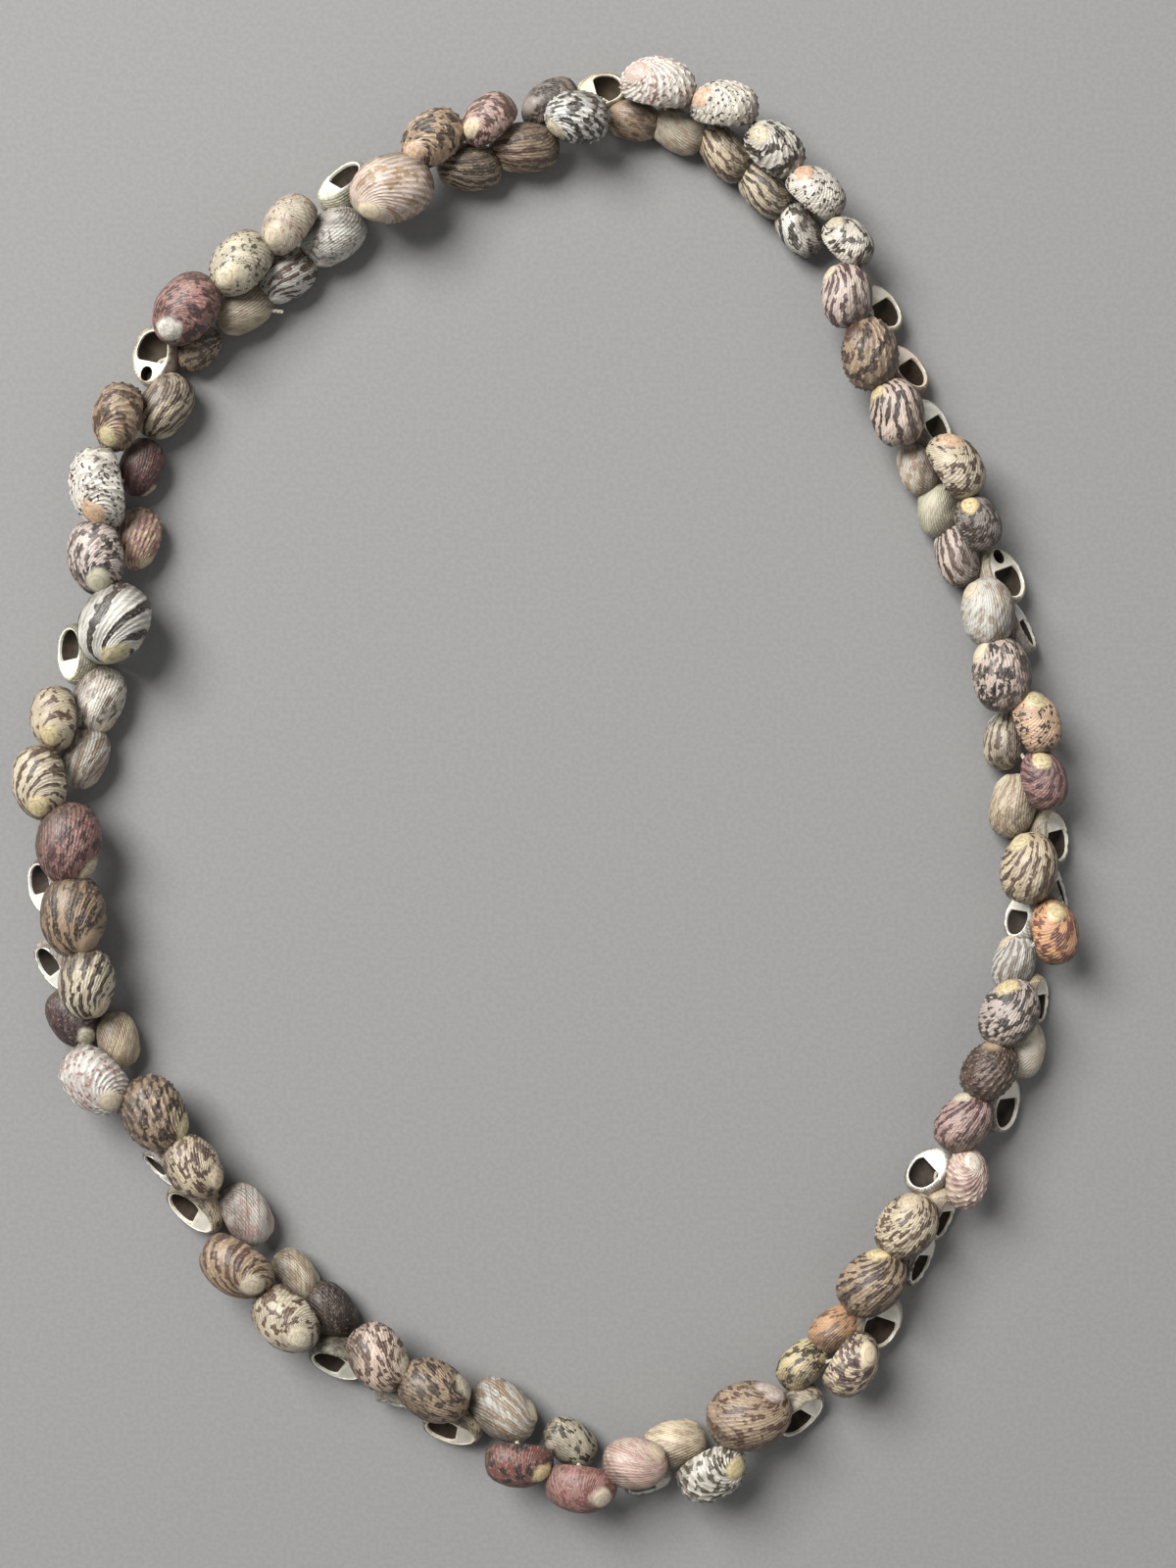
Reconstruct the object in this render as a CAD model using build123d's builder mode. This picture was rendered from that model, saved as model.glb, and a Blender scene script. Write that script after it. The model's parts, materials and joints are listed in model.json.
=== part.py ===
from build123d import *
import math
import os
from dataclasses import dataclass

# A long string of small sea-snail shells, laid in a closed loop on a flat surface.
# Millimetres. X runs across the loop and Y along it, and Z = 0 is the surface that it lies on.
# The shells sit by turns to the inside and the outside of one thread, which goes through a drilled
# way in each of them. They lean on the thread in two layers, low ones on the surface and top ones
# over the gaps between them.

# A middling shell
shell_length = 14.8      # from the lip to the spire
shell_width = 13.0       # across the back
shell_height = 9.5       # from the rim of the mouth to the back
shell_wall = 1.0
blunt_share = 0.55       # the part of the length on the lip's side of the widest place
septum_share = 0.06      # where the shelf across the mouth begins, in lengths past the widest place
spire_radius = 2.2
spire_proud = 0.9        # how far the spire's knob stands out of the back
spire_share = 0.55       # how far along the sharp end the spire sits
spire_side = 55.0        # degrees from the back's crest down to the spire

# The thread, its knot and the end left on it
thread_diameter = 1.0
thread_bend = 1.5
drilled_hole = 2.2
knot_radius = 1.3
knot_gap = 0.1
tail_length = 12.0

# How the shells sit round the thread, as shares of a middling shell's width
top_spread = 0.50 * shell_width   # between the two rows of the top layer
low_spread = 0.70 * shell_width   # and of the low one
top_height = 1.04 * shell_width
thread_height = 0.71 * shell_width
thread_reach = 0.70      # how far the thread goes from its middle line towards each shell's middle
snug = 1.04              # the least distance across the thread, where 1 is touching
row_snug = 1.10          # the same within a row, with room for the loop's bends

# The route of the string as it lies, clockwise from the knot, in millimetres for the string's own
# length. The loop through these points is then made as long as the shells on it.
route_points = [
    (-70, 139), (-47.5, 158), (-17, 169), (11, 179), (23, 179), (41, 175), (54.5, 165), (75, 141),
    (88, 108), (104.5, 75), (118, 45), (122, 13), (128, -20), (125, -45), (119.5, -66), (107, -91),
    (93, -117), (75, -146.5), (47, -170), (16, -178), (-12, -166), (-42, -152), (-65, -134),
    (-84, -110), (-108, -82), (-124, -50), (-128, -20), (-127, 8), (-118, 38), (-111, 64),
    (-111, 90), (-96, 118),
]

# The shells in order, clockwise from the knot, the first one inside the thread and the next one
# outside. A letter says how a shell lies, and the number is its size in hundredths of a middling one.
string_chart = """
    C85 T105 C90 T95 C95 M85 T125 T100 C90 T90 C95 C85 T95 M75 C75 T110
    C80 T100 C85 T95 C85 T95 C80 T85 T95 M80 T105 M80 T100 M80 C75 T105
    C75 T85 C85 M85 T100 L80 T110 T95 C80 T90 C90 L80 T105 L75 L70 T95
    C80 L70 T105 C85 T95 M85 T95 T90 M75 L75 T105 L80 T110 M85 C75 T100
    C80 M85 T125 T105 C90 L70 T95 T105 C80 T100 C100 M85 T110 L75 T105 M85
    C85 T110 C80 T115 C90 M90 T100 L75 T115 T115 C80 C90 T105 L80 T120 M80
    T120 T110 C90 T95 C95 M85 T125 T110 C85 T120 C80 T100 C95 M85 C70 T115
"""


@dataclass
class Pose:
    """How a shell lies: the turn of its mouth from straight down towards the thread, and its layer."""

    turn: float
    top: bool = False


poses = {
    "T": Pose(turn=30, top=True),     # back up, in the top layer
    "C": Pose(turn=30),               # back up, low
    "M": Pose(turn=-150),             # mouth up
    "L": Pose(turn=-105),             # lip out, on its side
}


@dataclass
class Shell:
    """A shell on the string: its pose, its size, its row and where its middle is."""

    pose: Pose
    size: float
    side: int                         # 1 outside the thread, -1 inside
    station: float = 0.0

    @property
    def across(self):
        spread = top_spread if self.pose.top else low_spread
        return 0.5 * spread * self.size * self.side

    @property
    def height(self):
        if self.pose.top:
            return top_height
        return reach_below(self.pose.turn) * self.size


base_depth = shell_height - shell_width / 2
sharp_length = shell_length * (1 - blunt_share)
blunt_length = shell_length * blunt_share


def reach_below(turn):
    """How far a middling shell reaches below its middle when its mouth has this turn."""
    rim = math.degrees(math.acos(base_depth / (shell_width / 2)))
    if abs(turn) >= rim:
        return shell_width / 2
    return shell_width / 2 * math.cos(math.radians(rim - abs(turn)))


def least_step(first, second):
    """How far along the string two shells have to be, so that they only just clear each other."""
    mean_size = (first.size + second.size) / 2
    across = (first.across - second.across) / (shell_width * mean_size)
    height = (first.height - second.height) / (shell_width * mean_size)
    room = row_snug if first.side == second.side else snug
    left = room**2 - across**2 - height**2
    return shell_length * mean_size * math.sqrt(max(left, 0.0))


def string_up(chart):
    """The shells of the chart, each slid along the thread until it meets those before it."""
    shells = []
    for index, word in enumerate(chart.split()):
        shell = Shell(poses[word[0]], int(word[1:]) / 100, 1 if index % 2 else -1)
        for back in (1, 2, 3, 4):
            if index >= back:
                other = shells[index - back]
                shell.station = max(shell.station, other.station + least_step(other, shell))
        shells.append(shell)
    length = max(
        last.station + least_step(last, first) - first.station
        for last in shells[-4:]
        for first in shells[:4]
    )
    return shells, length


def smooth_loop(points, steps=24):
    """Points close together on the smooth closed curve that these control points draw."""
    curve = []
    for index, corner in enumerate(points):
        before = points[index - 1]
        after = points[(index + 1) % len(points)]
        for step in range(steps):
            t = step / steps
            weights = ((1 - t) ** 2 / 2, 0.5 + t * (1 - t), t**2 / 2)
            curve.append(
                Vector(
                    *(
                        weights[0] * before[axis] + weights[1] * corner[axis] + weights[2] * after[axis]
                        for axis in (0, 1)
                    )
                )
            )
    return curve


def loop_lengths(curve):
    """The length of the loop up to each of its points, and right round."""
    lengths = [0.0]
    for index, point in enumerate(curve):
        lengths.append(lengths[-1] + (curve[(index + 1) % len(curve)] - point).length)
    return lengths


shells, string_length = string_up(string_chart)
drawn_curve = smooth_loop(route_points)
loop_scale = string_length / loop_lengths(drawn_curve)[-1]
loop_curve = [point * loop_scale for point in drawn_curve]
loop_stations = loop_lengths(loop_curve)


def on_loop(station):
    """The point at this length along the loop, and the way the loop runs there."""
    station = station % string_length
    index = max(i for i, length in enumerate(loop_stations[:-1]) if length <= station)
    start = loop_curve[index]
    end = loop_curve[(index + 1) % len(loop_curve)]
    way = (end - start).normalized()
    return start + way * (station - loop_stations[index]), way


def outwards(way):
    """The way out of the loop, square to a way along it."""
    return Vector(-way.Y, way.X, 0)


def middle_of(shell):
    """The middle of a shell, on the line through its spire end and its lip end."""
    point, way = on_loop(shell.station)
    return point + outwards(way) * shell.across + Vector(0, 0, shell.height)


def place_of(shell):
    """Where a shell goes and how it is turned: its spire points back along the string."""
    way = on_loop(shell.station)[1]
    plane = Plane(origin=middle_of(shell), x_dir=-way, z_dir=(0, 0, 1))
    return plane.location * Rotation(shell.pose.turn * shell.side, 0, 0)


def box_middle():
    """The middle of the loop's box from above, from the long and the wide way of each shell."""
    across = []
    along = []
    for shell in shells:
        way = on_loop(shell.station)[1]
        middle = middle_of(shell) + way * (blunt_length - sharp_length) / 2 * shell.size
        half_x = shell.size / 2 * math.hypot(shell_length * way.X, shell_width * way.Y)
        half_y = shell.size / 2 * math.hypot(shell_length * way.Y, shell_width * way.X)
        across += [middle.X - half_x, middle.X + half_x]
        along += [middle.Y - half_y, middle.Y + half_y]
    return Vector((min(across) + max(across)) / 2, (min(along) + max(along)) / 2)


def thread_corner(shell):
    """The point inside a shell that the thread goes round."""
    point = on_loop(shell.station)[0] + Vector(0, 0, thread_height)
    return point + (middle_of(shell) - point) * thread_reach


loop_middle = box_middle()
loop_curve = [point - loop_middle for point in loop_curve]


def egg(length, width):
    """A solid of revolution round X, blunt at the lip end and sharper at the spire end."""
    with BuildPart() as body:
        with BuildSketch() as profile:
            with BuildLine():
                sharp = EllipticalCenterArc(
                    (0, 0), length * (1 - blunt_share), width / 2, start_angle=0, arc_size=90
                )
                blunt = EllipticalCenterArc(
                    (0, 0), length * blunt_share, width / 2, start_angle=90, arc_size=90
                )
                Line(blunt @ 1, sharp @ 0)
            make_face()
        revolve(axis=Axis.X)
    return body.part


# One middling shell: a hollow back with a spire, open below but for the shelf across half its mouth
with BuildPart() as hollow:
    add(egg(shell_length - 2 * shell_wall, shell_width - 2 * shell_wall))
    with BuildSketch(Plane.XY.offset(shell_wall - base_depth)):
        with Locations((septum_share * shell_length, 0)):
            Rectangle(shell_length, shell_width, align=(Align.MIN, Align.CENTER))
    extrude(amount=-shell_width, mode=Mode.SUBTRACT)

with BuildPart() as middling:
    add(egg(shell_length, shell_width))
    spire_along = spire_share * sharp_length
    spire_out = shell_width / 2 * math.sqrt(1 - spire_share**2) + spire_proud - spire_radius
    spire_place = Vector(0, 0, spire_out).rotate(Axis.X, -spire_side) + Vector(spire_along, 0, 0)
    with Locations(spire_place):
        Sphere(spire_radius)
    split(bisect_by=Plane.XY.offset(-base_depth), keep=Keep.TOP)
    add(hollow.part, mode=Mode.SUBTRACT)

# The thread's way through the shells, from the knot round to the knot again
corners = [thread_corner(shell) for shell in shells]
knot_place = corners[0]
way_in = (corners[1] - knot_place).normalized()
way_back = (corners[-1] - knot_place).normalized()
way_along = on_loop(shells[0].station)[1]
tail_way = (way_along - outwards(way_along)).normalized()
tail_end = knot_place + tail_way * tail_length
knot_reach = knot_radius + knot_gap


def drill(start, end):
    """Cuts the drilled way from one point to another out of the part that is being built."""
    from_start = (Align.CENTER, Align.CENTER, Align.MIN)
    with Locations(Plane(origin=start, z_dir=end - start).location):
        Cylinder(drilled_hole / 2, (end - start).length, align=from_start, mode=Mode.SUBTRACT)


rows = {1: [], -1: []}
for index, shell in enumerate(shells):
    with BuildPart() as drilled:
        with Locations(place_of(shell)):
            add(middling.part.scale(shell.size))
        drill(corners[index], corners[(index + 1) % len(corners)])
        drill(corners[index], corners[index - 1])
        if index == 0:
            drill(knot_place, tail_end)
    rows[shell.side].append(drilled.part.solid())

os.makedirs("parts", exist_ok=True)

with BuildPart() as outer_shells:
    add(rows[1])
outer_shells.part.label = "outer_shells"
export_step(outer_shells.part, "parts/outer_shells.step")

with BuildPart() as inner_shells:
    add(rows[-1])
inner_shells.part.label = "inner_shells"
export_step(inner_shells.part, "parts/inner_shells.step")

with BuildPart() as thread:
    with BuildLine() as strand:
        FilletPolyline(
            knot_place + way_in * knot_reach,
            *corners[1:],
            knot_place + way_back * knot_reach,
            radius=thread_bend,
        )
    with BuildSketch(Plane(origin=strand.line @ 0, z_dir=strand.line % 0)):
        Circle(thread_diameter / 2)
    sweep()
thread.part.label = "thread"
export_step(thread.part, "parts/thread.step")

with BuildPart() as knot:
    with BuildSketch(Plane(origin=knot_place, x_dir=tail_way, z_dir=(0, 0, 1))) as knot_half:
        with BuildLine():
            neck = math.sqrt(knot_radius**2 - (thread_diameter / 2) ** 2)
            ball = ThreePointArc((-knot_radius, 0), (0, knot_radius), (neck, thread_diameter / 2))
            Polyline(ball @ 1, (tail_length, thread_diameter / 2), (tail_length, 0), ball @ 0)
        make_face()
    revolve(axis=Axis(knot_place, tail_way))
knot.part.label = "knot"
export_step(knot.part, "parts/knot.step")

print(f"{len(shells)} shells on {string_length:.1f} mm, the loop at {loop_scale:.4f} of its drawn size")
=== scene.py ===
"""A string of small sea-snail shells laid in a closed loop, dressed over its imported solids.

Every shell lies where the string puts it: the same chart of poses and sizes as in the solids'
source is strung up here, and each place takes one modelled shell with its own marks.
"""

import json
import logging
import math
import random
from contextlib import contextmanager
from dataclasses import dataclass, field
from enum import Enum
from typing import Callable, ClassVar, Iterator, Optional, Union

import bmesh
import bpy
from mathutils import Euler, Matrix, Vector

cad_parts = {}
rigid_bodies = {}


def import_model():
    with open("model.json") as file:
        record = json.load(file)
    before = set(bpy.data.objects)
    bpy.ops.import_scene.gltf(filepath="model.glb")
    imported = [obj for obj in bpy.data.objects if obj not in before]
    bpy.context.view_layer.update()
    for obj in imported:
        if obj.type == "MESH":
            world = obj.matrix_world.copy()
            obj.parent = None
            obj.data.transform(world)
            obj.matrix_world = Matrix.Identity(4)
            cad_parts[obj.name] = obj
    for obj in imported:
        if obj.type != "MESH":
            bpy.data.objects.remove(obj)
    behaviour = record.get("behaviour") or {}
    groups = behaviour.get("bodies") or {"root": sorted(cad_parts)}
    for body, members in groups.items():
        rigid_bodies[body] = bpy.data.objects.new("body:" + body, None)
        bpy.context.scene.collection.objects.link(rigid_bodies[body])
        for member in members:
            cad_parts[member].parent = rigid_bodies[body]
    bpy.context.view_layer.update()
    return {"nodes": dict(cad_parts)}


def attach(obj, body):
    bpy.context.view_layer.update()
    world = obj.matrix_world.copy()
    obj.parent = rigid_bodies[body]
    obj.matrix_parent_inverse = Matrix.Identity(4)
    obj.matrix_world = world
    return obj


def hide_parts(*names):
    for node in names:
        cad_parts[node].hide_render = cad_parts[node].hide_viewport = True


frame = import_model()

logging.basicConfig(level=logging.INFO, format="%(message)s")
log = logging.getLogger("shell_string")

MM = 0.001

# The photograph's frame in pixels, the stretch of floor that a pixel spans, and the loop's middle
PHOTO_WIDTH = 1200
PHOTO_HEIGHT = 1600
METRES_PER_PIXEL = 0.00026
LOOP_MIDDLE_PX = (557.5, 801.0)

# A shell's material slots, the inside's being painted shade deep in the mouth, and a number that marks
# its rim until its faces are sorted
OUTSIDE, MOUTH, SHADED_INSIDE, RIM = range(4)

FLOAT = "NodeSocketFloat"
COLOUR = "NodeSocketColor"
VECTOR = "NodeSocketVector"

Point = tuple[float, float]
Colour = tuple[float, float, float, float]
Socket = bpy.types.NodeSocket
Sockets = bpy.types.bpy_prop_collection
Value = Union[bpy.types.NodeSocket, float]


class Lie(Enum):
    """How a shell lies: the turn of its mouth from straight down, how much further the modelled
    one turns in the outer and in the inner row, and whether it rides on top and shows its hole."""

    TOP = (30.0, 22.0, -12.0, True, False)
    CREVICE = (30.0, 22.0, 22.0, False, False)
    MOUTH_UP = (-150.0, 0.0, 0.0, False, False)
    HOLE_UP = (-150.0, 0.0, 0.0, False, True)
    LIP_OUT = (-105.0, -18.0, -18.0, False, False)

    def __init__(self, turn: float, outer: float, inner: float, on_top: bool, hole: bool) -> None:
        """Names the parts of the value."""
        self.turn = turn
        self.leans = {1: outer, -1: inner}
        self.on_top = on_top
        self.shows_hole = hole

    def modelled_turn(self, side: int) -> float:
        """Gives the turn of the modelled shell, which leans from its solid's."""
        return self.turn + self.leans[side]


@dataclass(frozen=True)
class Marking:
    """How marks form: the weights of what their waves follow and of what their mask adds up, the
    sums between which the mask rises, and how far it does."""

    waves: dict[str, float]
    mask: dict[str, float]
    rise: Point
    most: float = 1.0


class Finish(Enum):
    """The kinds of marking that the shells of this string have."""

    PLAIN = Marking({}, {"dashes": 0.8, "spots": 0.8, "patches": 0.7}, (-0.02, 0.14), 0.8)
    STRIPE = Marking(
        {"turn": 10.0, "bend": 1.4},
        {"wave": 0.14, "dashes": 0.6, "spots": 0.6, "patches": 0.5}, (0.0, 0.05),
    )
    ZIGZAG = Marking(
        {"share": 8.0, "tooth": 0.5, "bend": 1.5},
        {"wave": 0.09, "dashes": 0.6, "spots": 0.8, "patches": 0.4}, (0.0, 0.04),
    )
    CHECK = Marking(
        {"share": 7.0, "slip": 0.8, "bend": 1.2},
        {"wave": 0.1, "dashes": 0.5, "spots": 0.9, "patches": 0.4}, (0.0, 0.04),
    )
    BAND = Marking(
        {"share": 5.0, "bend": 0.9},
        {"wave": 0.12, "dashes": 0.5, "spots": 0.8, "patches": 0.4}, (0.0, 0.04),
    )
    SPECKLE = Marking({}, {"dots": 1.0, "patches": 0.35}, (0.08, 0.12))
    BLOTCH = Marking({}, {"spots": 1.0, "dashes": 0.4, "patches": 0.8}, (0.03, 0.08))
    BROAD = Marking(
        {"turn": 5.0, "bend": 0.6}, {"wave": 0.2, "spots": 0.3, "patches": 0.3}, (0.11, 0.14)
    )

    @property
    def label(self) -> str:
        """The marking's name as the pieces and the charts have it."""
        return self.name.lower()


class Relief(Enum):
    """How the outside of a shell feels: its ribs round the spire, and their height in millimetres."""

    SMOOTH = (36, 0.0)
    FINE = (36, 0.09)
    BOLD = (18, 0.06)
    WORN = (24, 0.05)

    def __init__(self, ribs: int, height: float) -> None:
        """Names the parts of the value."""
        self.ribs = ribs
        self.height = height


LIES = {
    "T": Lie.TOP,
    "C": Lie.CREVICE,
    "M": Lie.MOUTH_UP,
    "H": Lie.HOLE_UP,
    "L": Lie.LIP_OUT,
}

# One word a shell, in the order of the string: how it lies, and its size in hundredths
STRING_CHART = """
    C85 T105 C90 T95 C95 M85 T125 T100 C90 T90 C95 C85 T95 M75 C75 T110
    C80 T100 C85 T95 C85 T95 C80 T85 T95 M80 T105 M80 T100 M80 C75 T105
    C75 T85 C85 H85 T100 L80 T110 T95 C80 T90 C90 L80 T105 L75 L70 T95
    C80 L70 T105 C85 T95 M85 T95 T90 M75 L75 T105 L80 T110 M85 C75 T100
    C80 M85 T125 T105 C90 L70 T95 T105 C80 T100 C100 M85 T110 L75 T105 M85
    C85 T110 C80 T115 C90 M90 T100 L75 T115 T115 C80 C90 T105 L80 T120 M80
    T120 T110 C90 T95 C95 M85 T125 T110 C85 T120 C80 T100 C95 H85 C70 T115
"""

# One look a shell, in the order of the string: marking, ground, marks, worn spire, relief
LOOK_CHART = """
    plain cream tan cream fine; speckle cream olive cream fine; stripe white brown white fine;
    speckle cream rose cream fine; speckle white grey white fine; plain green tan cream smooth;
    blotch shellpink tan cream worn; check tan umber peach bold; stripe tan umber tan fine;
    check pink brown cream worn; stripe tan brown cream fine; blotch black grey grey fine;
    check white black cream bold; plain yellow tan cream smooth; plain tan brown cream fine;
    speckle white rose shellpink bold;
    plain cream tan cream smooth; speckle white black peach bold; stripe cream brown cream smooth;
    band white black cream bold; stripe cream umber cream smooth; speckle white black peach fine;
    band white black peach fine; check white black cream fine; stripe shellpink purple cream fine;
    plain cream tan cream smooth; band tan umber brown bold; plain peach orange cream smooth;
    stripe shellpink ink yellow fine; plain green tan cream smooth; band white tan cream fine;
    blotch cream brown peach fine;
    plain green cream cream smooth; check grey umber yellow fine; stripe shellpink brown white fine;
    plain cream tan cream smooth; plain white tan cream fine; plain white pink cream smooth;
    check ink shellpink cream fine; speckle peach black yellow fine; stripe cream brown white smooth;
    stripe rose purple yellow fine; stripe cream tan cream smooth; plain cream tan cream smooth;
    stripe cream brown yellow fine; plain white tan cream smooth; plain white tan cream smooth;
    check orange red yellow fine;
    stripe white grey cream fine; plain cream tan cream smooth; check shellpink ink yellow fine;
    plain white cream cream fine; blotch brown black tan bold; plain white tan cream smooth;
    stripe pink purple cream fine; plain shellpink rose white bold; plain white tan cream smooth;
    plain cream tan cream smooth; check cream brown cream fine; band white black cream bold;
    stripe tan umber yellow fine; plain cream tan cream smooth; plain orange brown orange fine;
    check purple cream cream fine;
    blotch yellow black cream fine; plain cream brown cream smooth; zigzag tan brown shellpink fine;
    zigzag white olive yellow bold; plain cream tan cream fine; plain white tan cream smooth;
    stripe shellpink pink cream fine; check red rose cream fine; blotch cream black cream smooth;
    blotch red ink yellow fine; stripe tan white cream fine; plain cream brown cream smooth;
    zigzag tan umber cream fine; plain white tan cream smooth; zigzag shellpink brown cream fine;
    plain green black cream smooth;
    stripe umber black brown fine; blotch cream brown cream fine; plain cream tan cream smooth;
    stripe tan brown cream worn; plain white pink cream fine; plain cream umber cream smooth;
    check cream brown cream fine; plain white tan cream smooth; check tan umber yellow bold;
    speckle white rose cream bold; plain cream tan cream smooth; stripe purple ink cream fine;
    stripe cream umber cream smooth; plain white tan cream smooth; stripe umber tan tan fine;
    plain white black cream smooth;
    zigzag rose purple cream fine; stripe cream brown yellow fine; stripe white tan cream fine;
    blotch cream brown yellow fine; plain white brown cream fine; plain green tan cream smooth;
    broad white black yellow worn; check ink shellpink green fine; check peach rose cream bold;
    speckle white umber peach bold; stripe red purple cream fine; band tan brown yellow bold;
    stripe cream brown cream fine; plain cream tan cream smooth; check umber tan brown fine;
    check rose purple white fine
"""

TINTS = {
    "white": (221, 216, 204),
    "cream": (209, 196, 169),
    "yellow": (210, 193, 148),
    "peach": (211, 178, 148),
    "orange": (210, 158, 112),
    "tan": (166, 142, 116),
    "brown": (78, 53, 42),
    "umber": (41, 29, 25),
    "black": (15, 14, 14),
    "ink": (27, 24, 30),
    "grey": (137, 128, 121),
    "olive": (68, 66, 48),
    "green": (186, 185, 159),
    "purple": (70, 42, 50),
    "red": (116, 68, 63),
    "rose": (155, 114, 109),
    "pink": (188, 153, 143),
    "shellpink": (209, 190, 177),
}


def tint(name: str) -> Colour:
    """Gives a named tint in the linear values that the nodes take.

    Args:
        name: A key of TINTS.

    Returns:
        Red, green, blue and one.
    """
    red, green, blue = (
        share / 12.92 if share <= 0.04045 else ((share + 0.055) / 1.055) ** 2.4
        for share in (part / 255 for part in TINTS[name])
    )
    return (red, green, blue, 1.0)


@dataclass(frozen=True)
class Look:
    """What one shell looks like."""

    finish: Finish
    ground: str
    mark: str
    spire: str
    relief: Relief


def looks_of(chart: str) -> list[Look]:
    """Reads the chart of looks.

    Args:
        chart: One look a shell, with semicolons between them.

    Returns:
        The looks in the order of the string.
    """
    looks = []
    for entry in chart.split(";"):
        finish, ground, mark, spire, relief = entry.split()
        looks.append(Look(Finish[finish.upper()], ground, mark, spire, Relief[relief.upper()]))
    return looks


@dataclass
class StrungShell:
    """A shell on the string: how it lies, its size, its row and how far along it is."""

    lie: Lie
    size: float
    side: int
    look: Look
    across: float = 0.0
    height: float = 0.0
    station: float = 0.0


@dataclass
class ShellString:
    """The string as it lies: where each shell goes. Sizes are in millimetres, as in the solids."""

    shell_length: float = 14.8
    shell_width: float = 13.0
    shell_height: float = 9.5
    blunt_share: float = 0.55
    top_spread: float = 6.5
    low_spread: float = 9.1
    top_height: float = 13.52
    snug: float = 1.04
    row_snug: float = 1.10
    neighbours: int = 4
    curve_steps: int = 24
    top_nesting: tuple[float, float, float] = (1.20, 1.07, 1.03)
    low_nesting: tuple[float, float, float] = (1.30, 1.10, 1.03)
    swing: float = 13.0
    route: list[Point] = field(
        default_factory=lambda: [
            (-70, 139), (-47.5, 158), (-17, 169), (11, 179), (23, 179), (41, 175), (54.5, 165),
            (75, 141), (88, 108), (104.5, 75), (118, 45), (122, 13), (128, -20), (125, -45),
            (119.5, -66), (107, -91), (93, -117), (75, -146.5), (47, -170), (16, -178),
            (-12, -166), (-42, -152), (-65, -134), (-84, -110), (-108, -82), (-124, -50),
            (-128, -20), (-127, 8), (-118, 38), (-111, 64), (-111, 90), (-96, 118),
        ]
    )
    shells: list[StrungShell] = field(default_factory=list)
    curve: list[Vector] = field(default_factory=list)
    stations: list[float] = field(default_factory=list)
    length: float = 0.0

    @property
    def base_depth(self) -> float:
        """How far the rim of the mouth lies below a shell's middle."""
        return self.shell_height - self.shell_width / 2

    def reach_below(self, turn: float) -> float:
        """Gives how far a middling shell reaches below its middle.

        Args:
            turn: Degrees that its mouth is turned.

        Returns:
            The reach in millimetres.
        """
        half = self.shell_width / 2
        rim = math.degrees(math.acos(self.base_depth / half))
        if abs(turn) >= rim:
            return half
        return half * math.cos(math.radians(rim - abs(turn)))

    def least_step(self, first: StrungShell, second: StrungShell) -> float:
        """Gives how far along the string two shells are when they only just clear each other.

        Args:
            first: One shell.
            second: The other one.

        Returns:
            The length of string between them in millimetres.
        """
        mean_size = (first.size + second.size) / 2
        across = (first.across - second.across) / (self.shell_width * mean_size)
        height = (first.height - second.height) / (self.shell_width * mean_size)
        room = self.row_snug if first.side == second.side else self.snug
        left = room**2 - across**2 - height**2
        return self.shell_length * mean_size * math.sqrt(max(left, 0.0))

    def string_up(self, chart: str, looks: list[Look]) -> None:
        """Slides each shell of the chart along the thread until it meets those before it.

        Args:
            chart: A letter and a size for each shell.
            looks: The look of each shell.
        """
        for index, word in enumerate(chart.split()):
            side = 1 if index % 2 else -1
            shell = StrungShell(LIES[word[0]], int(word[1:]) / 100, side, looks[index])
            spread = self.top_spread if shell.lie.on_top else self.low_spread
            shell.across = 0.5 * spread * shell.size * side
            low = self.reach_below(shell.lie.turn) * shell.size
            shell.height = self.top_height if shell.lie.on_top else low
            for other in self.shells[-self.neighbours:]:
                step = other.station + self.least_step(other, shell)
                shell.station = max(shell.station, step)
            self.shells.append(shell)
        self.length = max(
            last.station + self.least_step(last, first) - first.station
            for last in self.shells[-self.neighbours:]
            for first in self.shells[:self.neighbours]
        )

    def lay_out(self) -> None:
        """Draws the loop as long as the shells on it, with the middle of its box at the origin."""
        self.curve = self.smooth_loop()
        scale = self.length / self.measure(self.curve)[-1]
        self.curve = [point * scale for point in self.curve]
        self.stations = self.measure(self.curve)
        middle = self.box_middle()
        self.curve = [point - middle for point in self.curve]

    def smooth_loop(self) -> list[Vector]:
        """Gives points close together on the smooth closed curve that the route draws."""
        curve = []
        for index, corner in enumerate(self.route):
            before = self.route[index - 1]
            after = self.route[(index + 1) % len(self.route)]
            for step in range(self.curve_steps):
                t = step / self.curve_steps
                start, middle, end = (1 - t) ** 2 / 2, 0.5 + t * (1 - t), t**2 / 2
                flat = [start * before[k] + middle * corner[k] + end * after[k] for k in (0, 1)]
                curve.append(Vector((flat[0], flat[1], 0.0)))
        return curve

    @staticmethod
    def measure(curve: list[Vector]) -> list[float]:
        """Gives the length of the loop up to each of its points, and right round."""
        lengths = [0.0]
        for index, point in enumerate(curve):
            lengths.append(lengths[-1] + (curve[(index + 1) % len(curve)] - point).length)
        return lengths

    def on_loop(self, station: float) -> tuple[Vector, Vector]:
        """Finds a place along the loop.

        Args:
            station: The length along the loop in millimetres.

        Returns:
            The point there, and the way the loop runs.
        """
        station = station % self.length
        index = max(i for i, length in enumerate(self.stations[:-1]) if length <= station)
        start = self.curve[index]
        end = self.curve[(index + 1) % len(self.curve)]
        way = (end - start).normalized()
        return start + way * (station - self.stations[index]), way

    def middle_of(self, shell: StrungShell) -> Vector:
        """Gives the middle of a shell, in millimetres."""
        point, way = self.on_loop(shell.station)
        return point + Vector((-way.y, way.x, 0.0)) * shell.across + Vector((0, 0, shell.height))

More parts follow.
